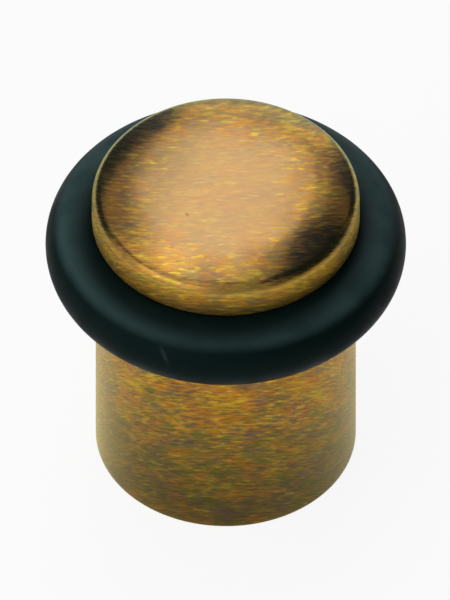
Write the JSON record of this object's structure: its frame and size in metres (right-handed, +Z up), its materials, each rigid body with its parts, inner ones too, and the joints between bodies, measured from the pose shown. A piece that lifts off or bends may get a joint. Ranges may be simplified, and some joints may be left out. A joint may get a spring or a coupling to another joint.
{
  "type": "floor door stop",
  "caption": "Cylindrical floor door stop in darkened brass, with a low domed head above a black rubber buffer ring and a tapped base for a floor stud.",
  "frame": {"origin": "centre of the base, at floor level", "axes": "+Z up along the turning axis; the stop is round, so X and Y are alike"},
  "size_m": [0.0416, 0.0416, 0.0428],
  "materials": {
    "darkened_brass": "brushed, darkened and lacquered",
    "black_rubber": "smooth moulded, satin"
  },
  "bodies": {
    "root": {"body": "darkened_brass", "buffer_ring": "black_rubber"}
  },
  "joints": []
}
